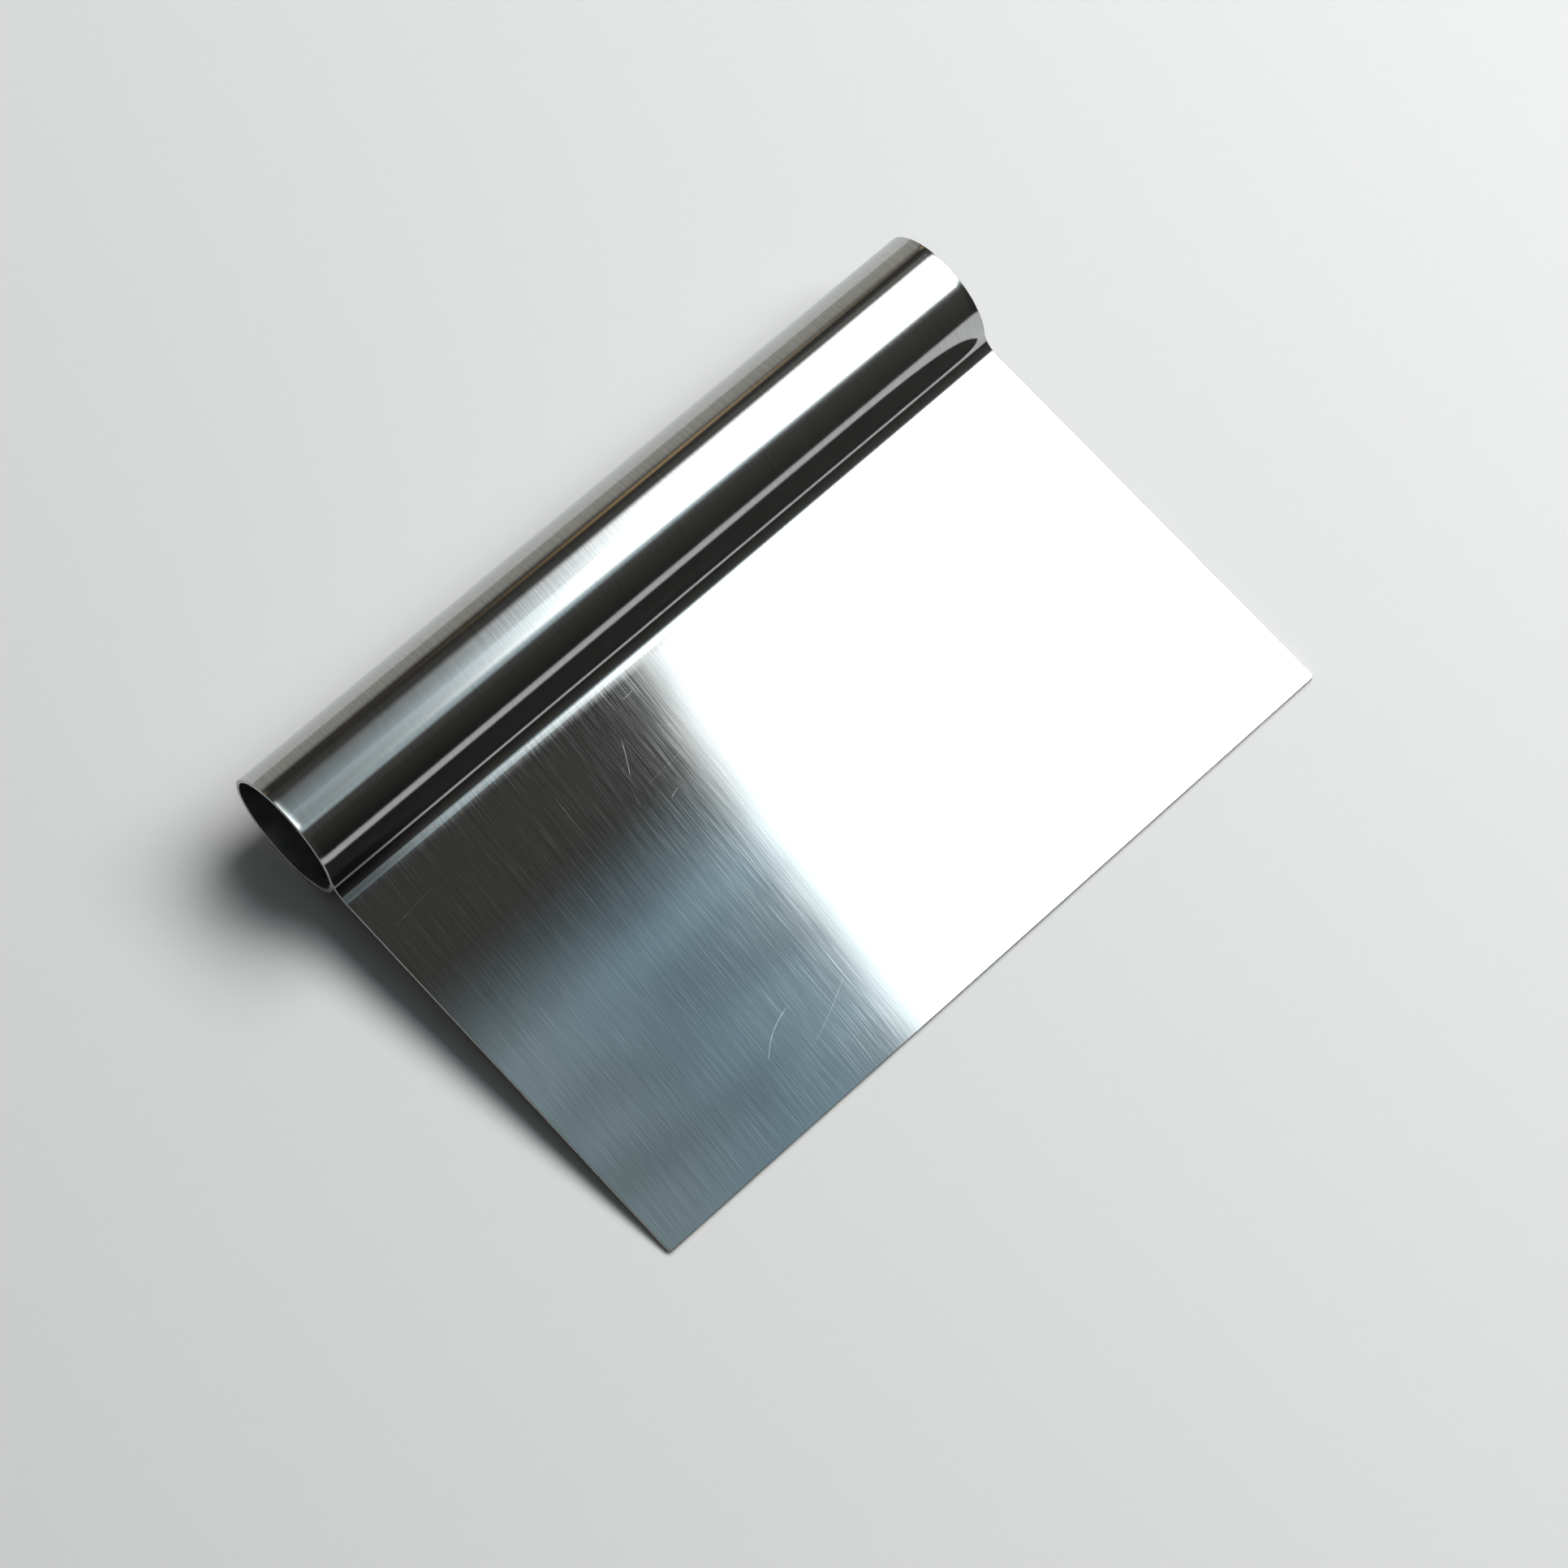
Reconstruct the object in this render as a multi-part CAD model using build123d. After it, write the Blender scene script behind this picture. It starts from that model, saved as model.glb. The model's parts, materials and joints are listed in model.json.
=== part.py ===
from build123d import *
import math
import os

# Bench scraper: one flat stainless sheet whose back edge bends up in a tight neck and
# rolls round into an open tubular handle. It lies on its cutting edge and on the handle.
#
# Frame: +X along the handle, +Y from the cutting edge towards the handle, +Z up.
# Origin: the middle of the footprint, on the surface that the scraper lies on.
# The section is drawn in the blade's own frame, with y = 0 at the cutting edge and
# z = 0 at the middle of the blade's thickness, and is then tilted into the lying pose.

# Driving dimensions, in millimetres
WIDTH = 150.0               # along the handle, end to end
BLADE_DEPTH = 78.18         # flat blade, from the cutting edge to the start of the neck
SHEET = 0.8                 # sheet thickness, the same everywhere
ROLL_DIAMETER = 24.0        # outside of the rolled handle
NECK_RADIUS = 4.2           # inside radius of the bend between the blade and the roll
AXIS_RISE = 0.65            # the roll's axis above the middle of the blade
CORNER_RADIUS = 0.8         # the blade's two free corners, seen from above
EDGE_BREAK = 0.1            # chamfer along both arrises of the cutting edge

# Named clearance and the welds that keep the roll shut
SEAM_GAP = 0.15             # between the roll's free edge and the neck
TACK_RADIUS = 1.0           # section of one weld bead
TACK_LENGTH = 5.0           # overall, along the seam
TACK_INSET = 9.0            # from the handle's end to the middle of the end tack
TACK_COUNT = 3

# The sheet's radii about the roll's axis and about the neck's centre
roll_outer = ROLL_DIAMETER / 2
roll_inner = roll_outer - SHEET
neck_outer = NECK_RADIUS + SHEET
neck_rise = NECK_RADIUS + SHEET / 2
centre_distance = roll_outer + NECK_RADIUS

# The neck and the roll touch where the line between their centres crosses the sheet
neck_centre = (BLADE_DEPTH, neck_rise)
reach = math.sqrt(centre_distance**2 - (neck_rise - AXIS_RISE) ** 2)
roll_centre = (BLADE_DEPTH + reach, AXIS_RISE)
neck_end = -math.degrees(math.asin((neck_rise - AXIS_RISE) / centre_distance))
roll_start = 180 + neck_end


def seam_angle(from_neck, from_axis):
    """Direction, seen from the roll's axis, of a point under the neck at these two distances."""
    cosine = (centre_distance**2 + from_axis**2 - from_neck**2) / (2 * centre_distance * from_axis)
    return roll_start + math.degrees(math.acos(cosine))


def on_roll(radius, angle):
    """Point in the section plane at this radius and direction from the roll's axis."""
    turn = math.radians(angle)
    return (roll_centre[0] + radius * math.cos(turn), roll_centre[1] + radius * math.sin(turn))


def make_blade():
    """Flat blade: square cutting edge with broken arrises, two slightly rounded corners."""
    half = SHEET / 2
    profile = Plane.YZ * make_face(Polyline(
        (EDGE_BREAK, -half), (BLADE_DEPTH, -half), (BLADE_DEPTH, half), (EDGE_BREAK, half),
        (0, half - EDGE_BREAK), (0, EDGE_BREAK - half), close=True))
    plan = Pos(0, BLADE_DEPTH / 2) * Rectangle(WIDTH, BLADE_DEPTH)
    plan = fillet(plan.vertices().group_by(Axis.Y)[0], CORNER_RADIUS)
    return extrude(profile, WIDTH / 2, both=True) & extrude(plan, SHEET, both=True)


def make_rolled_handle():
    """Neck bend and the roll that follows it, with a square-cut end at each side."""
    roll_end = seam_angle(neck_outer + SEAM_GAP, roll_outer)
    sweep = 360 + roll_start - roll_end
    outline = Curve() + [
        Line((BLADE_DEPTH, -SHEET / 2), (BLADE_DEPTH, SHEET / 2)),
        CenterArc(neck_centre, NECK_RADIUS, -90, 90 + neck_end),
        CenterArc(roll_centre, roll_outer, roll_start, -sweep),
        Line(on_roll(roll_outer, roll_end), on_roll(roll_inner, roll_end)),
        CenterArc(roll_centre, roll_inner, roll_end, sweep),
        CenterArc(neck_centre, neck_outer, -90, 90 + neck_end),
    ]
    return extrude(Plane.YZ * make_face(outline), WIDTH / 2, both=True)


def make_tack_welds(handle):
    """Short round-ended beads in the crevice under the neck, where the roll closes."""
    sunk = TACK_RADIUS / 2
    from_axis = roll_outer + sunk
    y, z = on_roll(from_axis, seam_angle(neck_outer + sunk, from_axis))
    half_run = TACK_LENGTH / 2 - TACK_RADIUS
    run = Rot(0, 90, 0) * Cylinder(TACK_RADIUS, 2 * half_run)
    bead = run + Pos(-half_run, 0, 0) * Sphere(TACK_RADIUS) + Pos(half_run, 0, 0) * Sphere(TACK_RADIUS)
    span = WIDTH - 2 * TACK_INSET
    places = [span * (i / (TACK_COUNT - 1) - 0.5) for i in range(TACK_COUNT)]
    return Compound([Pos(x, y, z) * bead - handle for x in places])


def lying_pose(parts):
    """Tilt that rests the cutting edge and the roll on one plane, and the shift to the origin."""
    edge_y, edge_z = EDGE_BREAK, -SHEET / 2
    run, rise = roll_centre[0] - edge_y, roll_centre[1] - edge_z
    tilt = math.degrees(math.asin(roll_outer / math.hypot(run, rise)) - math.atan2(rise, run))
    tilted = Compound([Rot(tilt, 0, 0) * part for part in parts]).bounding_box()
    middle = (tilted.min.Y + tilted.max.Y) / 2
    return Pos(0, -middle, -tilted.min.Z) * Rot(tilt, 0, 0)


blade = make_blade()
rolled_handle = make_rolled_handle()
nodes = {
    "blade": blade,
    "rolled_handle": rolled_handle,
    "seam_tack_welds": make_tack_welds(rolled_handle),
}
pose = lying_pose([blade, rolled_handle])

os.makedirs("parts", exist_ok=True)
for name, shape in nodes.items():
    export_step(pose * shape, f"parts/{name}.step")

axis_point = pose * Pos(0, *roll_centre)
face_point = pose * Pos(0, BLADE_DEPTH / 2, SHEET / 2)
print("handle axis", axis_point.position, "blade face", face_point.position)
print("blade face normal", (face_point * Pos(0, 0, 1)).position - face_point.position)
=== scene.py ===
import json
import math

import bmesh
import bpy
from mathutils import Matrix, Vector


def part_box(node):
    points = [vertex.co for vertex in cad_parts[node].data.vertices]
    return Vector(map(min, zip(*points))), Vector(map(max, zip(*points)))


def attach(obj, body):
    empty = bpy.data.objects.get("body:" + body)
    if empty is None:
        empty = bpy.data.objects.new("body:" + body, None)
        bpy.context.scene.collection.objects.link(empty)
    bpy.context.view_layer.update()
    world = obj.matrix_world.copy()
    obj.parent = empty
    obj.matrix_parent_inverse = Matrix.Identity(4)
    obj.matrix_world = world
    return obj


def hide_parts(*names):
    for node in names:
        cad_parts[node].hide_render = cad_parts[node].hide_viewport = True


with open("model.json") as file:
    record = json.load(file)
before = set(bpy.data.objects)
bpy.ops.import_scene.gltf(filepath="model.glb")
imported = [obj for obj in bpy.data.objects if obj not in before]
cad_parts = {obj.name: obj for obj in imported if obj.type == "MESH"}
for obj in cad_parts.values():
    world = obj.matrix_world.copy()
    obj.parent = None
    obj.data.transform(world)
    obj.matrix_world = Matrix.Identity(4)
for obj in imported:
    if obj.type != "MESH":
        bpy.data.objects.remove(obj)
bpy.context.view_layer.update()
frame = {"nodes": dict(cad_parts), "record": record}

# ---------------------------------------------------------------- sizes, in metres

MM = 0.001
NECK_RADIUS = 4.2 * MM            # inside radius of the bend between blade and handle
CORNER_RADIUS = 0.8 * MM          # the blade's two free corners
EDGE_BREAK = 0.15 * MM            # smoothed arrises all round the sheet
SEAM_GAP = 0.15 * MM              # between the roll's free edge and the neck
NECK_STEPS = 36
ROLL_STEPS = 220
FLAT_END = 0.15 * MM              # last strip of flat blade, which keeps its shading flat
CORNER_STEPS = 8
ARRIS_STEPS = 3
SHARP_ANGLE = math.radians(50)    # an edge sharper than this is an arris, and is broken
SMOOTH_ANGLE = math.radians(12)   # an edge flatter than this is shaded smooth

mounts = {m["name"]: m for m in frame["record"]["mounts"]}
bore, face = mounts["handle_bore"], mounts["blade_face"]
bore_at, face_at = Vector(bore["pos_m"]), Vector(face["pos_m"])
face_normal = Vector(face["axis"]).normalized()
tilt = math.atan2(-face_normal.y, face_normal.z)
along_blade = Vector((0, math.cos(tilt), math.sin(tilt)))

handle_low, handle_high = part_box("rolled_handle")
width = handle_high.x - handle_low.x
roll_inner = bore["dims"]["r_mm"] * MM
roll_outer = handle_high.z - bore_at.z
sheet = roll_outer - roll_inner

# In the blade's own frame y runs from the cutting edge to the handle, and z = 0 is the
# middle of the blade's thickness.
axis_rise = (bore_at - face_at).dot(face_normal) + sheet / 2
neck_rise = NECK_RADIUS + sheet / 2
centre_distance = roll_outer + NECK_RADIUS
reach = math.sqrt(centre_distance**2 - (neck_rise - axis_rise) ** 2)
blade_depth = 2 * ((bore_at - face_at).dot(along_blade) - reach)
neck_centre = Vector((0, blade_depth, neck_rise))
roll_centre = Vector((0, blade_depth + reach, axis_rise))
neck_turn = math.pi / 2 - math.asin((neck_rise - axis_rise) / centre_distance)
roll_start = math.pi / 2 + neck_turn
neck_end = blade_depth + neck_turn * neck_rise     # measured along the sheet


def seam_turn():
    """How far the roll turns before its free edge stops short of the neck."""
    from_neck = NECK_RADIUS + sheet + SEAM_GAP
    cosine = (centre_distance**2 + roll_outer**2 - from_neck**2) / (2 * centre_distance * roll_outer)
    return 2 * math.pi - math.acos(cosine)


roll_turn = seam_turn()
lying = Matrix.Rotation(tilt, 4, "X")
lying = Matrix.Translation(bore_at - lying @ roll_centre) @ lying


# ---------------------------------------------------------------- the formed sheet

def place_on_sheet(point):
    """How far a point lies along the sheet, and the direction through the sheet there."""
    if point.y <= blade_depth:
        return point.y, Vector((0, 0, 1))
    about_neck = point - neck_centre
    about_neck.x = 0
    neck_angle = math.atan2(about_neck.z, about_neck.y) + math.pi / 2
    near_neck = NECK_RADIUS * 0.9 < about_neck.length < NECK_RADIUS + sheet * 1.05
    if near_neck and 0 <= neck_angle <= neck_turn + 1e-4:
        return blade_depth + neck_angle * neck_rise, about_neck.normalized()
    about_roll = point - roll_centre
    about_roll.x = 0
    turned = (roll_start - math.atan2(about_roll.z, about_roll.y)) % (2 * math.pi)
    if turned > roll_turn + 0.05:
        turned -= 2 * math.pi
    return neck_end + turned * (roll_outer - sheet / 2), about_roll.normalized()


def last_edges(result):
    return [item for item in result["geom_last"] if isinstance(item, bmesh.types.BMEdge)]


def extrude_flat(bm, edges, length):
    """Carries an edge further along the flat blade, and returns the new edge."""
    grown = bmesh.ops.extrude_edge_only(bm, edges=edges)["geom"]
    verts = [item for item in grown if isinstance(item, bmesh.types.BMVert)]
    bmesh.ops.translate(bm, verts=verts, vec=(0, length, 0))
    return [item for item in grown if isinstance(item, bmesh.types.BMEdge)
            and all(v in verts for v in item.verts)]


def make_sheet():
    """The sheet's upper face, extruded and spun from the cutting edge, then given its thickness."""
    bm = bmesh.new()
    corners = [bm.verts.new((side * width / 2, 0, sheet / 2)) for side in (-1, 1)]
    cutting_edge = bm.edges.new(corners)
    back_edge = extrude_flat(bm, [cutting_edge], blade_depth - FLAT_END)
    back_edge = extrude_flat(bm, back_edge, FLAT_END)
    neck = bmesh.ops.spin(bm, geom=back_edge, cent=neck_centre, axis=(1, 0, 0), angle=neck_turn,
                          steps=NECK_STEPS, use_merge=False, use_duplicate=False)
    bmesh.ops.spin(bm, geom=last_edges(neck), cent=roll_centre, axis=(1, 0, 0), angle=-roll_turn,
                   steps=ROLL_STEPS, use_merge=False, use_duplicate=False)
    bmesh.ops.bevel(bm, geom=corners, offset=CORNER_RADIUS, offset_type="OFFSET",
                    segments=CORNER_STEPS, profile=0.5, affect="VERTICES", material=-1)
    bmesh.ops.recalc_face_normals(bm, faces=bm.faces)
    flat = min(bm.faces, key=lambda f: f.calc_center_median().y)
    if flat.normal.z < 0:
        bmesh.ops.reverse_faces(bm, faces=bm.faces)
    bmesh.ops.solidify(bm, geom=bm.faces, thickness=sheet)
    return bm


BRUSHED, INSIDE, CUT = range(3)
FACING = 0.9                      # a face turned further than this out of the sheet is a cut edge


def finish_of(face):
    """Brushed outside, the duller inside of the roll, or one of the sheet's cut edges."""
    run, through = place_on_sheet(face.calc_center_median())
    facing = face.normal.dot(through)
    if abs(facing) < FACING:
        return CUT
    return INSIDE if run > neck_end and facing < 0 else BRUSHED


def finish_piece(bm, name, transform, materials):
    """Breaks the arrises, writes the sheet's own coordinates and makes the object."""
    bm.normal_update()
    arrises = [e for e in bm.edges if len(e.link_faces) == 2 and e.calc_face_angle() > SHARP_ANGLE]
    bevelled = bmesh.ops.bevel(bm, geom=arrises, offset=EDGE_BREAK, offset_type="OFFSET",
                               segments=ARRIS_STEPS, profile=0.5, affect="EDGES", material=-1,
                               clamp_overlap=True)
    rounded = set(bevelled["faces"])
    bm.normal_update()
    layer = bm.loops.layers.uv.new("along_sheet")
    for f in bm.faces:
        f.smooth = True
        f.material_index = finish_of(f)
        for loop in f.loops:
            loop[layer].uv = (loop.vert.co.x, place_on_sheet(loop.vert.co)[0])
    for e in bm.edges:
        e.smooth = rounded.issuperset(e.link_faces) or e.calc_face_angle() < SMOOTH_ANGLE
    bmesh.ops.transform(bm, matrix=transform, verts=bm.verts)
    mesh = bpy.data.meshes.new(name)
    bm.to_mesh(mesh)
    bm.free()
    for material in materials:
        mesh.materials.append(material)
    obj = bpy.data.objects.new(name, mesh)
    bpy.context.scene.collection.objects.link(obj)
    return obj


# ---------------------------------------------------------------- node helpers

class Shading:
    """A material's nodes, with short calls for the arithmetic that patterns need."""

    def __init__(self, name):
        self.material = bpy.data.materials.new(name)
        self.material.use_nodes = True
        self.nodes = self.material.node_tree.nodes
        self.links = self.material.node_tree.links
        self.shader = self.nodes["Principled BSDF"]

    def join(self, source, socket):
        """Links an output into a socket, or sets the socket when the source is a number."""
        if isinstance(source, bpy.types.NodeSocket):
            self.links.new(source, socket)
        else:
            socket.default_value = source

    def sheet_position(self):
        """Position across and along the sheet, in metres."""
        uv = self.nodes.new("ShaderNodeUVMap")
        uv.uv_map = "along_sheet"
        split = self.nodes.new("ShaderNodeSeparateXYZ")
        self.links.new(uv.outputs["UV"], split.inputs[0])
        return split.outputs["X"], split.outputs["Y"]

    def object_position(self):
        place = self.nodes.new("ShaderNodeTexCoord")
        split = self.nodes.new("ShaderNodeSeparateXYZ")
        self.links.new(place.outputs["Object"], split.inputs[0])
        return split.outputs["X"], split.outputs["Y"], split.outputs["Z"]

    def math(self, operation, *values):
        node = self.nodes.new("ShaderNodeMath")
        node.operation = operation
        for value, socket in zip(values, node.inputs):
            self.join(value, socket)
        return node.outputs[0]

    def product(self, *values):
        total = values[0]
        for value in values[1:]:
            total = self.math("MULTIPLY", total, value)
        return total

    def vector(self, x, y, z=0.0):
        node = self.nodes.new("ShaderNodeCombineXYZ")
        for value, socket in zip((x, y, z), node.inputs):
            self.join(value, socket)
        return node.outputs[0]

    def ramp(self, value, start, end, low=0.0, high=1.0, smooth=True):
        """Carries a value from low at start to high at end, and holds it outside them."""
        node = self.nodes.new("ShaderNodeMapRange")
        node.interpolation_type = "SMOOTHSTEP" if smooth else "LINEAR"
        for given, socket in zip((value, start, end, low, high), node.inputs):
            self.join(given, socket)
        return node.outputs["Result"]

    def noise(self, vector, detail=2.0, roughness=0.5):
        node = self.nodes.new("ShaderNodeTexNoise")
        node.noise_dimensions = "2D"
        node.inputs["Scale"].default_value = 1.0
        node.inputs["Detail"].default_value = detail
        node.inputs["Roughness"].default_value = roughness
        self.links.new(vector, node.inputs["Vector"])
        return node.outputs["Fac"]

    def grains(self, u, v, u_size, v_size, detail):
        """Noise whose grains measure u_size by v_size."""
        place = self.vector(self.math("DIVIDE", u, u_size), self.math("DIVIDE", v, v_size))
        return self.noise(place, detail)

    def mix(self, factor, first, second):
        node = self.nodes.new("ShaderNodeMix")
        node.data_type = "RGBA"
        self.join(factor, node.inputs["Factor"])
        for colour, socket in ((first, node.inputs["A"]), (second, node.inputs["B"])):
            self.join(colour if isinstance(colour, bpy.types.NodeSocket) else (*colour, 1), socket)
        return node.outputs["Result"]

    def bump(self, height, distance):
        node = self.nodes.new("ShaderNodeBump")
        node.inputs["Strength"].default_value = 1.0
        node.inputs["Distance"].default_value = distance
        self.links.new(height, node.inputs["Height"])
        self.links.new(node.outputs["Normal"], self.shader.inputs["Normal"])


# ---------------------------------------------------------------- brushed steel

BRUSH_LEAN = math.tan(math.radians(4.4))       # the grain leans towards +X on its way up the blade
GRAIN_WIDTH = 0.22 * MM
GRAIN_LENGTH = 14 * MM
HAIRLINE_WIDTH = 0.16 * MM
HAIRLINE_LENGTH = 12 * MM
HAIRLINE_FADE = (0.53, 0.78)                   # how much of the streaky noise shows as hairlines
PEEL_SIZE = 0.16 * MM                          # the fine roughening that bending leaves on the neck
NECK_BORDER = 1.6 * MM                         # how far that roughening reaches onto the blade
BEND_FADE = 1 * MM                             # the neck's finish gives way over a few of these
FLARE = 1.3 * MM                               # the roll's ends stand up slightly over this length
SCRATCH_WIDTH = 0.055 * MM

DARKER_STEEL, LIGHTER_STEEL = (0.465, 0.47, 0.47), (0.545, 0.545, 0.535)
# The darkest steel grey is painted shade, put on the neck's left end to dim its reflection there.
PALE_STEEL, NECK_SHADE_GREY = (0.75, 0.75, 0.74), (0.12, 0.12, 0.12)
NECK_SHADE_END = (-72 * MM, -50 * MM)                # across the sheet, where painted shade darkens the neck towards its left end, so its shine fades

ANISOTROPY = 0.73
# Each pair is for the blade, and for the neck and handle
ROUGHNESS = (0.0365, 0.125)
SMOOTHEST_GRAIN, ROUGHEST_GRAIN = (0.80, 0.98), (1.35, 1.02)     # shares of that roughness
HAIRLINE_ROUGHNESS = (0.02, 0.001)
HAIRLINE_PALENESS = (0.45, 0.12)
SCRATCH_ROUGHNESS, SCRATCH_PALENESS = 0.25, 0.6

RELIEF = 0.0012 * MM                           # the three below are shares of it
PEEL_RELIEF, GRAIN_RELIEF, FLARE_RELIEF = 0.35, 0.04, 44.0

# Fine scratches on the blade: start, end and sideways bow in millimetres, from the middle of
# the cutting edge, and how strongly each one shows.
SCRATCHES = (
    ((-41.2, 12.7), (-31.9, 17.5), 1.0, 0.6),
    ((-34.0, 9.7), (-21.4, 15.4), -0.3, 0.25),
    ((-21.8, 69.5), (-25.2, 63.6), 0.1, 0.45),
    ((-21.0, 69.0), (-23.8, 63.9), 0.0, 0.07),
    ((-26.2, 62.3), (-27.4, 58.4), 0.0, 0.15),
    ((-24.4, 60.6), (-25.8, 56.5), 0.1, 0.12),
    ((-24.1, 60.9), (-14.4, 61.6), 0.0, 0.12),
    ((-21.1, 60.4), (-15.0, 60.8), 0.0, 0.07),
    ((-22.4, 56.5), (-20.1, 57.2), 0.1, 0.35),
    ((-16.8, 74.8), (-14.2, 75.0), -0.2, 0.3),
    ((-15.9, 67.8), (-12.8, 65.3), 0.0, 0.1),
    ((-71.8, 70.1), (-62.0, 71.3), 0.1, 0.35),
    ((31.0, 33.0), (38.5, 30.2), 0.6, 0.5),
    ((52.0, 58.0), (49.5, 49.0), -0.4, 0.5),
)


def streaks(s, across, along, width_each, length_each, detail):
    """Noise drawn out along the grain."""
    leaning = s.math("MULTIPLY_ADD", along, -BRUSH_LEAN, across)
    return s.grains(leaning, along, width_each, length_each, detail)


def scratch(s, across, along, start, end, bow, depth):
    """One thin mark that follows a shallow arc from start to end."""
    start, end = Vector(start) * MM, Vector(end) * MM
    run = end - start
    length = run.length
    run.normalize()
    dx, dy = s.math("SUBTRACT", across, start.x), s.math("SUBTRACT", along, start.y)
    forward = s.math("MULTIPLY_ADD", dx, run.x, s.math("MULTIPLY", dy, run.y))
    aside = s.math("MULTIPLY_ADD", dx, -run.y, s.math("MULTIPLY", dy, run.x))
    share = s.math("DIVIDE", forward, length)
    arc = s.product(share, s.math("SUBTRACT", 1.0, share), 4 * bow * MM)
    off_line = s.math("ABSOLUTE", s.math("SUBTRACT", aside, arc))
    line = s.ramp(off_line, 0.0, SCRATCH_WIDTH, depth, 0.0)
    return s.product(line, s.ramp(share, 0.0, 0.08), s.ramp(share, 0.8, 1.0, 1.0, 0.0))


def brushed_steel():
    """Near-mirror stainless with a fine grain along the blade and on round the roll."""
    s = Shading("brushed_stainless")
    s.shader.inputs["Metallic"].default_value = 1.0
    s.shader.inputs["Anisotropic"].default_value = ANISOTROPY
    tangent = s.nodes.new("ShaderNodeTangent")
    tangent.direction_type = "UV_MAP"
    tangent.uv_map = "along_sheet"
    s.links.new(tangent.outputs["Tangent"], s.shader.inputs["Tangent"])

    across, along = s.sheet_position()
    fine = streaks(s, across, along, GRAIN_WIDTH, GRAIN_LENGTH, 3.0)
    hairlines = s.ramp(streaks(s, across, along, HAIRLINE_WIDTH, HAIRLINE_LENGTH, 1.0), *HAIRLINE_FADE)
    marks = None
    for start, end, bow, depth in SCRATCHES:
        mark = scratch(s, across, along, start, end, bow, depth)
        marks = mark if marks is None else s.math("MAXIMUM", marks, mark)

    past_blade = s.ramp(along, blade_depth - NECK_BORDER, blade_depth + BEND_FADE)
    before_roll = s.ramp(along, neck_end - 2 * BEND_FADE, neck_end + BEND_FADE, 1.0, 0.0)
    on_neck = s.math("MULTIPLY", past_blade, before_roll)

    smoothest = s.ramp(past_blade, 0.0, 1.0, *SMOOTHEST_GRAIN, smooth=False)
    roughest = s.ramp(past_blade, 0.0, 1.0, *ROUGHEST_GRAIN, smooth=False)
    rough = s.math("MULTIPLY", s.ramp(past_blade, 0.0, 1.0, *ROUGHNESS, smooth=False),
                   s.ramp(fine, 0.30, 0.72, smoothest, roughest, smooth=False))
    rough = s.math("MULTIPLY_ADD", hairlines, s.ramp(past_blade, 0.0, 1.0, *HAIRLINE_ROUGHNESS), rough)
    rough = s.math("MULTIPLY_ADD", marks, SCRATCH_ROUGHNESS, rough)
    s.links.new(rough, s.shader.inputs["Roughness"])

    colour = s.mix(s.ramp(fine, 0.25, 0.75), DARKER_STEEL, LIGHTER_STEEL)
    paler = s.math("MULTIPLY", hairlines, s.ramp(past_blade, 0.0, 1.0, *HAIRLINE_PALENESS))
    colour = s.mix(paler, colour, PALE_STEEL)
    colour = s.mix(s.math("MULTIPLY", marks, SCRATCH_PALENESS), colour, PALE_STEEL)
    # Painted shade: the neck's colour darkens towards its left end, dimming its reflection there.
    neck_shade = s.math("MULTIPLY", on_neck, s.ramp(across, *NECK_SHADE_END, 0.85, 0.0))
    s.links.new(s.mix(neck_shade, colour, NECK_SHADE_GREY), s.shader.inputs["Base Color"])

    peel = s.grains(across, along, PEEL_SIZE, PEEL_SIZE, 2.0)
    height = s.math("MULTIPLY", fine, GRAIN_RELIEF)
    height = s.math("MULTIPLY_ADD", on_neck, s.math("MULTIPLY", peel, PEEL_RELIEF), height)
    flare = s.ramp(s.math("ABSOLUTE", across), width / 2 - FLARE, width / 2, smooth=False)
    flare = s.product(flare, flare, s.ramp(along, neck_end, neck_end + 3 * BEND_FADE))
    s.bump(s.math("MULTIPLY_ADD", flare, FLARE_RELIEF, height), RELIEF)
    return s.material


# ---------------------------------------------------------------- the duller metals

MILL_CLOUD = MM / 0.3                          # blotches in the unbrushed inside
# The inside's greys are darker than the brushed steel's, partly for its unbrushed finish and partly as
# painted shade inside the roll.
MILL_ROUGHNESS, MILL_AND_SHADE_GREYS = (0.28, 0.38), ((0.30, 0.302, 0.295), (0.39, 0.39, 0.38))
MILL_RELIEF = 0.002 * MM

BURR_SIZE = 0.3 * MM
EDGE_ROUGHNESS, EDGE_GREYS = (0.32, 0.46), ((0.46, 0.455, 0.44), (0.58, 0.58, 0.57))
EDGE_RELIEF = 0.004 * MM

WELD_RIPPLE = 0.7 * MM                         # from one ripple of a bead to the next
WELD_PIT = MM / 1.5
WELD_ROUGHNESS, WELD_TINTS = (0.30, 0.50), ((0.36, 0.31, 0.24), (0.30, 0.33, 0.40))
WELD_RELIEF = 0.03 * MM


def uneven_metal(s, pattern, roughness, colours):
    """Bare metal whose roughness and colour follow a noise pattern."""
    s.shader.inputs["Metallic"].default_value = 1.0
    s.links.new(s.ramp(pattern, 0.3, 0.7, *roughness, smooth=False), s.shader.inputs["Roughness"])
    s.links.new(s.mix(pattern, *colours), s.shader.inputs["Base Color"])


def mill_finish_and_shade():
    """The roll's inside, which was never brushed; its darker greys are partly that finish and partly
    painted shade inside the roll.
    """
    s = Shading("mill_finish_and_shade")
    across, along = s.sheet_position()
    cloud = s.grains(across, along, MILL_CLOUD, MILL_CLOUD, 4.0)
    uneven_metal(s, cloud, MILL_ROUGHNESS, MILL_AND_SHADE_GREYS)
    s.bump(cloud, MILL_RELIEF)
    return s.material


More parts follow.
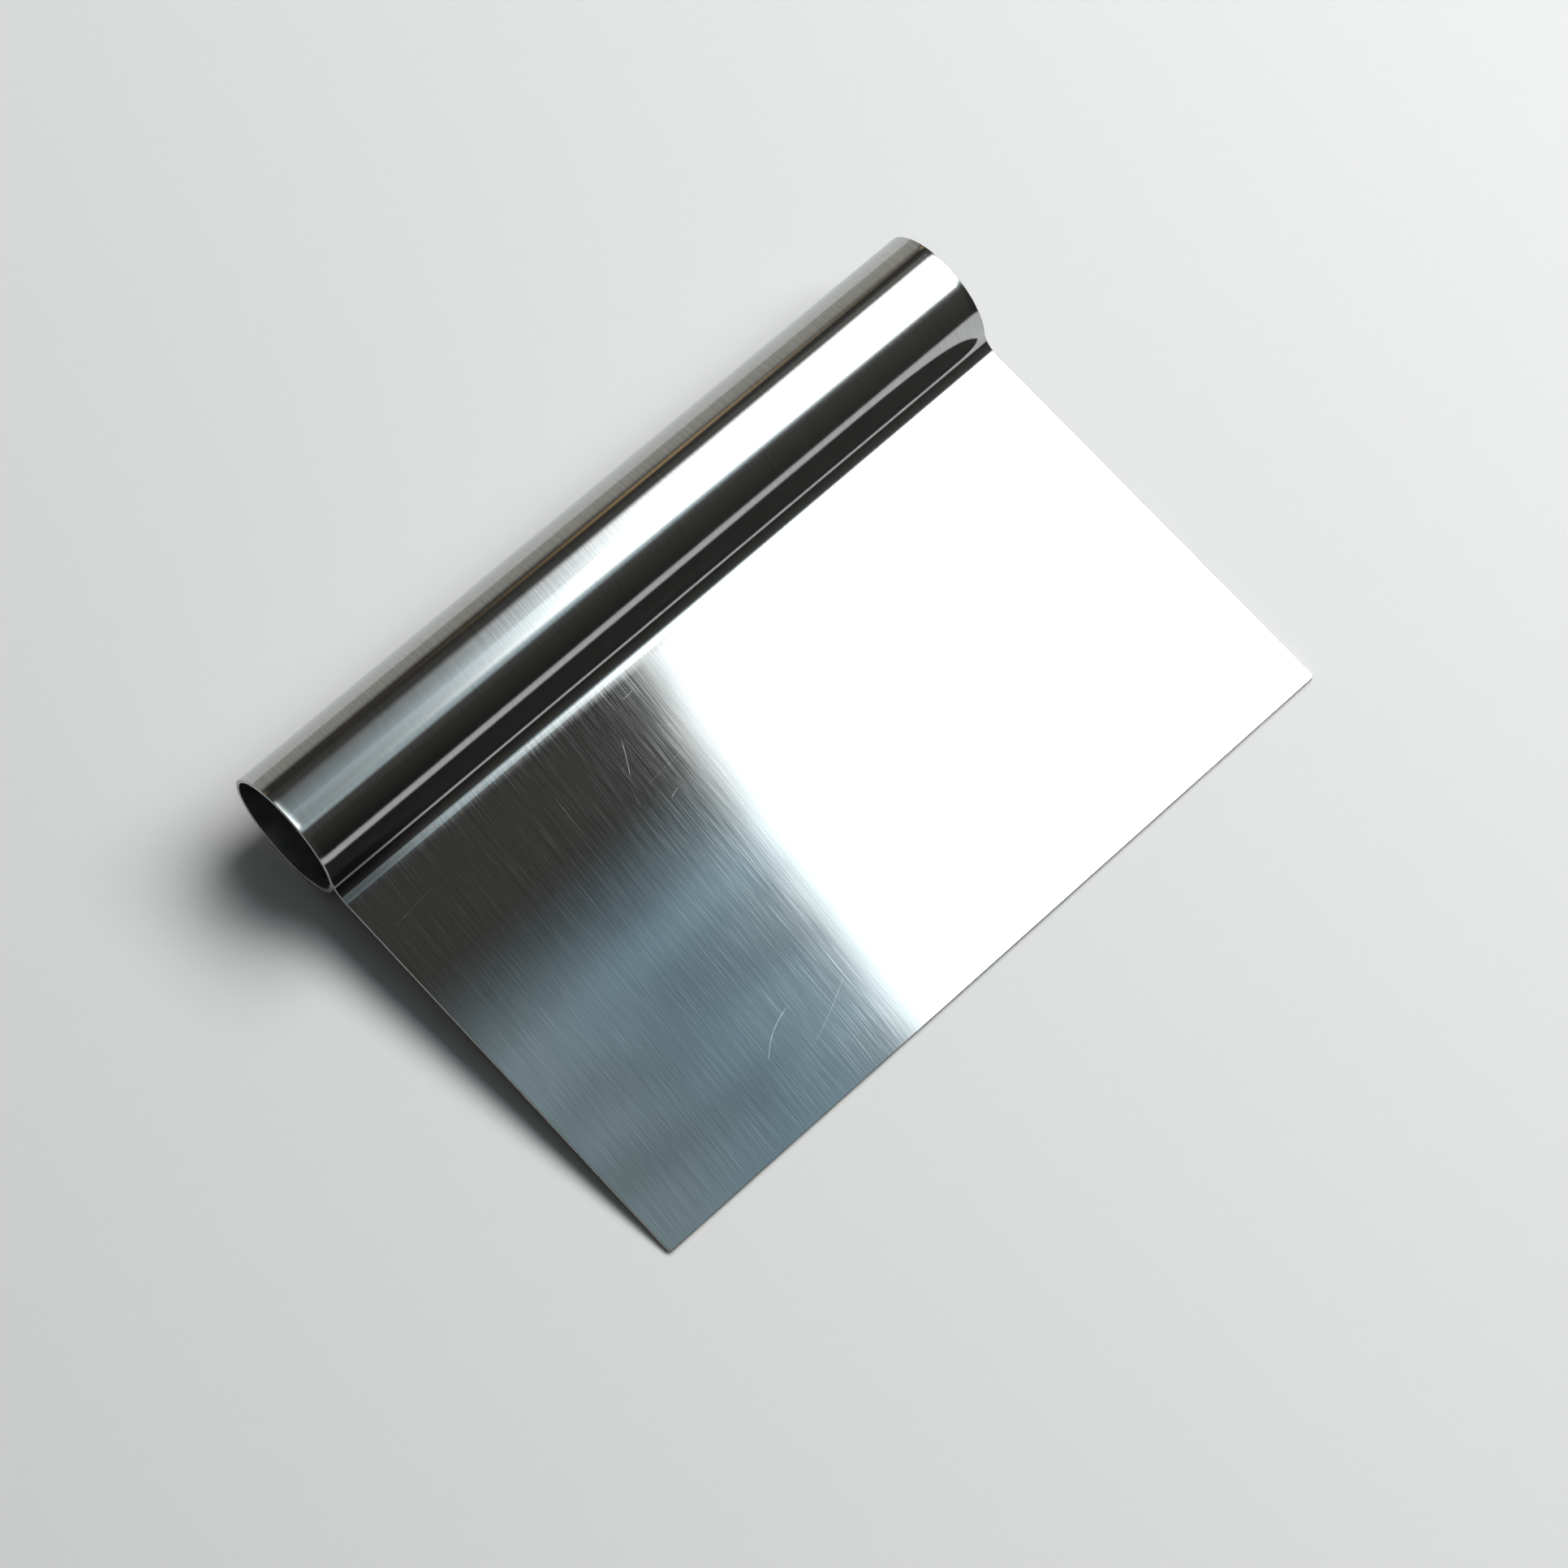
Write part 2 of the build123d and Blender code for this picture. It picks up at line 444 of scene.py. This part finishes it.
def sheared_edge():
    """The sheet's cut edges: a paler, duller metal with the shear's fine lines across it."""
    s = Shading("sheared_edge")
    x, y, z = s.object_position()
    burrs = s.grains(s.math("ADD", x, y), s.math("ADD", z, y), BURR_SIZE, BURR_SIZE, 2.0)
    uneven_metal(s, burrs, EDGE_ROUGHNESS, EDGE_GREYS)
    s.bump(burrs, EDGE_RELIEF)
    return s.material


def weld_metal():
    """Small rippled beads with a straw and blue heat tint."""
    s = Shading("weld_metal")
    x, y, z = s.object_position()
    ripple = s.math("SINE", s.math("MULTIPLY", x, 2 * math.pi / WELD_RIPPLE))
    pits = s.grains(x, z, WELD_PIT, WELD_PIT, 3.0)
    uneven_metal(s, pits, WELD_ROUGHNESS, WELD_TINTS)
    s.bump(s.math("MULTIPLY_ADD", pits, 0.5, ripple), WELD_RELIEF)
    return s.material


# ---------------------------------------------------------------- studio

FLOOR_REACH = 7.5
OVERHEAD_X, OVERHEAD_Y, OVERHEAD_Z = (-0.9, 2.3), (-1.7, 1.6), 1.6
BACK_WALL_X, BACK_WALL_Y, BACK_WALL_Z = (-3, 4), 2.5, (0, 2.1)
SIDE_WALLS_X, SIDE_WALL_Y, SIDE_WALL_Z = {"left_wall": -2.0, "right_wall": 2.9}, (-2.6, 2.5), (0, 2.6)
HANDLE_CARD_X, HANDLE_CARD_Y, HANDLE_CARD_Z = (-0.055, 0.014), (0.04, 0.06), 0.15

# The rest are fades: where one starts and ends, in metres, and then the values that it carries
# there, which are 0 and 1 where they aren't given.
PANEL_BENDS = ((-0.15, 0.25, -0.0123, 0.0205), (0.25, 1.0, 0.0, 0.08))     # of its left edge
PANEL_SOFT_BENDS = ((0.13, 0.18, 0.0, 0.006), (-0.12, -0.05, 0.007, 0.0))
PANEL_LEFT, PANEL_RIGHT = (0.424, 0.454), (2.0, 2.2, 1.0, 0.0)
PANEL_FRONT, PANEL_FRONT_SLANT = (-0.60, -0.30), 0.6
PANEL_BACK, PANEL_BACK_SLANT, SLANT_LIMIT = (0.60, 1.02, 1.0, 0.0), -0.3, 0.95
PANEL_SPILL = (0.65, 0.90, 0.0, 0.025)         # a faint light left beyond the panel's back
PANEL_STRENGTH = (0.45, 1.1, 2.55, 8.0)
PANEL_WHITENS, EDGE_WHITE, PANEL_WHITE = (0.45, 0.62), (0.93, 0.985, 1.0), (1.0, 1.0, 0.985)

PATCH_BLUES = (0.225, 0.32, 0.365), (0.20, 0.335, 0.42), (0.31, 0.47, 0.55)
PATCH_CHANGES = (0.27, 0.36), (0.36, 0.42)     # from each blue to the next
PATCH_LEFT = (-0.7, -0.2)
NEAR_PATCH_BACK, NEAR_PATCH_FRONT = (0.062, 0.135, 1.0, 0.0), (-1.14, -0.92)
NEAR_PATCH_THINS = (-0.45, -0.05, 0.5, 0.0), (-0.82, -0.62)
FAR_PATCH_FRONT, FAR_PATCH_BACK = (0.19, 0.24), (0.24, 1.05, 0.52, 0.0)
CLOUD_ACROSS, CLOUD_DEEP = 1 / 9, 1 / 22       # size of the patch's soft unevenness
CLOUD_DIMMEST = (0.10, 0.25, 0.90, 0.70)
LINE_FRONT, LINE_BACK, LINE_RIGHT = (-1.10, -0.98), (-0.86, -0.74, 1.0, 0.0), (0.42, 0.50, 0.17, 0.0)
LINE_WHITE = (1.0, 0.93, 0.72)
DIM_GREY, CEILING_STRENGTH = (1.0, 1.0, 0.93), 0.062

WALL_STEP = (0.80, 1.0)                        # to its right the wall is WALL_RISE higher
WALL_RISE = 0.16
WALL_UP, WALL_TOP = (0.0, 0.9, 0.41, 0.36), (0.88, 1.45, 1.0, 0.0)
WALL_ACROSS = (0.4, 1.3, 0.85, 1.1)
WALL_WHITE, WALL_STRENGTH = (1.0, 0.98, 0.90), 0.036
LAMP_LEFT, LAMP_RIGHT, LAMP_MIDDLE = (0.83, 0.96), (1.16, 1.24, 1.0, 0.0), (1.03, 1.08)
LAMP_BOTTOM, LAMP_TOP = (1.38, 1.56), (1.66, 1.98, 1.0, 0.0)
LAMP_STRENGTHS = (0.72, 0.16)                  # left of its middle, and right of it
LAMP_COLOURS = (1.0, 0.66, 0.28), (1.0, 0.93, 0.80)

SIDE_UP, SIDE_TOP = (0.0, 0.9, 0.15, 1.0), (1.3, 2.6, 1.0, 0.1)
SIDE_FRONT, SIDE_BACK = (-2.6, -1.0, 0.1, 1.0), (1.2, 2.5, 1.0, 0.4)
SIDE_WHITE, SIDE_STRENGTH = (1.0, 1.0, 0.98), 0.55

STRIP_FRONT, STRIP_BACK = (0.0425, 0.0483), (0.0527, 0.0567, 1.0, 0.0)
STRIP_STRENGTH = (0.0, 0.012, 0.55, 0.0)
STRIP_BLUES, STRIP_CHANGE = ((0.20, 0.33, 0.39), (0.31, 0.47, 0.55)), (-0.0135, 0.0055)

# The floor's own pale grey, painted darker towards the front as painted shade away from the overhead
# light.
FLOOR_FRONT_SHADE = (-0.75, -0.20)
FLOOR_AND_SHADE_GREYS = (0.42, 0.422, 0.42), (0.644, 0.644, 0.641)
FLOOR_ROUGHNESS = 0.6
WORLD_FADES = {"Z": (0.0, 1.0, 0.006, 0.060), "X": (0.22, 0.60, 0.0, 0.080)}


def stage_card(name, corners, material, camera=False):
    """A flat four-cornered card, part of the studio and not of the object."""
    bm = bmesh.new()
    bm.faces.new([bm.verts.new(c) for c in corners])
    mesh = bpy.data.meshes.new(name)
    bm.to_mesh(mesh)
    bm.free()
    mesh.materials.append(material)
    obj = bpy.data.objects.new(name, mesh)
    bpy.context.scene.collection.objects.link(obj)
    obj.visible_camera = camera
    return obj


def level_card(name, across, deep, height, material, camera=False):
    (left, right), (front, back) = across, deep
    return stage_card(name, [(left, front, height), (right, front, height),
                             (right, back, height), (left, back, height)], material, camera)


def emitter(s, colour, strength):
    light = s.nodes.new("ShaderNodeEmission")
    s.join(colour if isinstance(colour, bpy.types.NodeSocket) else (*colour, 1), light.inputs["Color"])
    s.join(strength, light.inputs["Strength"])
    return light.outputs[0]


def glow(s, *lights, clear=False):
    """Turns the shading into a plain emitter that sums its lights, see-through where it's clear."""
    s.nodes.remove(s.shader)
    total = s.nodes.new("ShaderNodeBsdfTransparent").outputs[0] if clear else None
    for light in lights:
        if total is None:
            total = emitter(s, *light)
            continue
        both = s.nodes.new("ShaderNodeAddShader")
        s.links.new(total, both.inputs[0])
        s.links.new(emitter(s, *light), both.inputs[1])
        total = both.outputs[0]
    s.links.new(total, s.nodes["Material Output"].inputs["Surface"])
    return s.material


def overhead_light():
    """One large soft panel, up and to the right, beside a faint cool patch and a dark ceiling."""
    s = Shading("overhead_light")
    x, y, z = s.object_position()
    from_edge = x
    for bend in PANEL_BENDS:
        from_edge = s.math("SUBTRACT", from_edge, s.ramp(y, *bend, smooth=False))
    for bend in PANEL_SOFT_BENDS:
        from_edge = s.math("SUBTRACT", from_edge, s.ramp(y, *bend))
    front = s.ramp(s.math("MULTIPLY_ADD", x, PANEL_FRONT_SLANT, y), *PANEL_FRONT)
    back = s.math("MULTIPLY_ADD", s.math("MINIMUM", x, SLANT_LIMIT), PANEL_BACK_SLANT, y)
    back = s.math("MAXIMUM", s.ramp(back, *PANEL_BACK), s.ramp(x, *PANEL_SPILL))
    panel = s.product(s.ramp(from_edge, *PANEL_LEFT), s.ramp(x, *PANEL_RIGHT), front, front, back,
                      s.ramp(from_edge, *PANEL_STRENGTH, smooth=False))
    panel_colour = s.mix(s.ramp(from_edge, *PANEL_WHITENS), EDGE_WHITE, PANEL_WHITE)

    colour = PATCH_BLUES[0]
    for change, blue in zip(PATCH_CHANGES, PATCH_BLUES[1:]):
        colour = s.mix(s.ramp(x, *change, smooth=False), colour, blue)
    thinner = s.product(*[s.ramp(y, *fade) for fade in NEAR_PATCH_THINS])
    near = s.product(s.ramp(y, *NEAR_PATCH_BACK), s.ramp(y, *NEAR_PATCH_FRONT),
                     s.math("SUBTRACT", 1.0, thinner))
    far = s.product(s.ramp(y, *FAR_PATCH_FRONT), s.ramp(y, *FAR_PATCH_BACK, smooth=False))
    clouds = s.grains(x, y, CLOUD_ACROSS, CLOUD_DEEP, 1.0)
    clouds = s.ramp(clouds, 0.25, 0.75, s.ramp(x, *CLOUD_DIMMEST), 1.0)
    patch = s.product(s.math("ADD", near, far), s.ramp(x, *PATCH_LEFT), clouds)
    line = s.product(s.ramp(y, *LINE_FRONT), s.ramp(y, *LINE_BACK), s.ramp(x, *LINE_RIGHT))
    return glow(s, (panel_colour, panel), (colour, patch), (LINE_WHITE, line),
                (DIM_GREY, CEILING_STRENGTH))


def wall_light():
    """Warm grey wall behind, fading out towards its top, with a small warm lamp's glow above it."""
    s = Shading("wall_light")
    x, y, z = s.object_position()
    below_top = s.math("MULTIPLY_ADD", s.ramp(x, *WALL_STEP), -WALL_RISE, z)
    wall = s.product(s.ramp(z, *WALL_UP, smooth=False), s.ramp(below_top, *WALL_TOP),
                     s.ramp(x, *WALL_ACROSS))
    middle = s.ramp(x, *LAMP_MIDDLE)
    lamp = s.product(s.ramp(x, *LAMP_LEFT), s.ramp(x, *LAMP_RIGHT), s.ramp(z, *LAMP_BOTTOM),
                     s.ramp(z, *LAMP_TOP), s.ramp(middle, 0.0, 1.0, *LAMP_STRENGTHS))
    return glow(s, (WALL_WHITE, wall), (s.mix(middle, *LAMP_COLOURS), lamp), (DIM_GREY, WALL_STRENGTH))


def side_glow():
    """Soft grey beyond both of the handle's ends, for the steel to reflect from the sides."""
    s = Shading("side_glow")
    x, y, z = s.object_position()
    strength = s.product(s.ramp(z, *SIDE_UP), s.ramp(z, *SIDE_TOP), s.ramp(y, *SIDE_FRONT),
                         s.ramp(y, *SIDE_BACK), SIDE_STRENGTH)
    s.material.cycles.emission_sampling = "NONE"
    return glow(s, (SIDE_WHITE, strength))


def handle_glow():
    """A faint see-through card low over the handle's near end, which only the handle reflects."""
    s = Shading("handle_glow")
    x, y, z = s.object_position()
    strength = s.product(s.ramp(y, *STRIP_FRONT), s.ramp(y, *STRIP_BACK), s.ramp(x, *STRIP_STRENGTH))
    s.material.cycles.emission_sampling = "NONE"
    return glow(s, (s.mix(s.ramp(x, *STRIP_CHANGE), *STRIP_BLUES), strength), clear=True)


def pale_floor():
    s = Shading("pale_floor")
    x, y, z = s.object_position()
    # Painted shade: the floor darkens towards the front, away from the overhead light.
    s.links.new(s.mix(s.ramp(y, *FLOOR_FRONT_SHADE), *FLOOR_AND_SHADE_GREYS), s.shader.inputs["Base Color"])
    s.shader.inputs["Roughness"].default_value = FLOOR_ROUGHNESS
    return s.material


def dim_world():
    """Dark surroundings, a little lighter overhead and to the right."""
    world = bpy.data.worlds.new("studio")
    bpy.context.scene.world = world
    world.use_nodes = True
    nodes, links = world.node_tree.nodes, world.node_tree.links
    direction = nodes.new("ShaderNodeTexCoord")
    split = nodes.new("ShaderNodeSeparateXYZ")
    links.new(direction.outputs["Generated"], split.inputs[0])
    total = nodes.new("ShaderNodeMath")
    for (axis, fade), share in zip(WORLD_FADES.items(), total.inputs):
        ramp = nodes.new("ShaderNodeMapRange")
        links.new(split.outputs[axis], ramp.inputs["Value"])
        for value, socket in zip(fade, list(ramp.inputs)[1:5]):
            socket.default_value = value
        links.new(ramp.outputs["Result"], share)
    links.new(total.outputs[0], nodes["Background"].inputs["Strength"])
    nodes["Background"].inputs["Color"].default_value = (*DIM_GREY, 1)


def build_studio():
    edge_to_edge = (-FLOOR_REACH, FLOOR_REACH)
    level_card("floor", edge_to_edge, edge_to_edge, 0, pale_floor(), camera=True)
    level_card("overhead_panel", OVERHEAD_X, OVERHEAD_Y, OVERHEAD_Z, overhead_light())
    (left, right), y, (bottom, top) = BACK_WALL_X, BACK_WALL_Y, BACK_WALL_Z
    stage_card("back_wall", [(left, y, bottom), (right, y, bottom), (right, y, top), (left, y, top)],
               wall_light())
    level_card("handle_card", HANDLE_CARD_X, HANDLE_CARD_Y, HANDLE_CARD_Z, handle_glow())
    grey = side_glow()
    (front, back), (bottom, top) = SIDE_WALL_Y, SIDE_WALL_Z
    for name, x in SIDE_WALLS_X.items():
        corners = [(x, front, bottom), (x, back, bottom), (x, back, top), (x, front, top)]
        wall = stage_card(name, corners, grey)
        wall.visible_diffuse = False           # it shows in the steel and adds no light to the floor
    dim_world()
    bpy.context.scene.view_settings.view_transform = "Standard"


# ---------------------------------------------------------------- camera

CAMERA_AZIMUTH = math.radians(-45.86)
CAMERA_ELEVATION = math.radians(66.51)
CAMERA_ROLL = math.radians(2.56)
CAMERA_DISTANCE = 0.7792
CAMERA_AIM = Vector((-0.00545, -0.00591, 0.00251))
LENS_MM, SENSOR_MM = 106.57, 36.0


def build_camera():
    data = bpy.data.cameras.new("camera")
    data.lens, data.sensor_width = LENS_MM, SENSOR_MM
    cam = bpy.data.objects.new("camera", data)
    bpy.context.scene.collection.objects.link(cam)
    turn = (Matrix.Rotation(CAMERA_AZIMUTH, 4, "Z")
            @ Matrix.Rotation(math.pi / 2 - CAMERA_ELEVATION, 4, "X")
            @ Matrix.Rotation(CAMERA_ROLL, 4, "Z"))
    back = turn.to_3x3() @ Vector((0, 0, 1))
    cam.matrix_world = Matrix.Translation(CAMERA_AIM + back * CAMERA_DISTANCE) @ turn
    bpy.context.scene.camera = cam


# ---------------------------------------------------------------- assembly

build_camera()
build_studio()

sheet_materials = [brushed_steel(), mill_finish_and_shade(), sheared_edge()]     # BRUSHED, INSIDE, CUT
formed_sheet = finish_piece(make_sheet(), "formed_sheet", lying, sheet_materials)
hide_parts("blade", "rolled_handle")
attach(formed_sheet, "root")

welds = frame["nodes"]["seam_tack_welds"]
welds.data.materials.clear()
welds.data.materials.append(weld_metal())
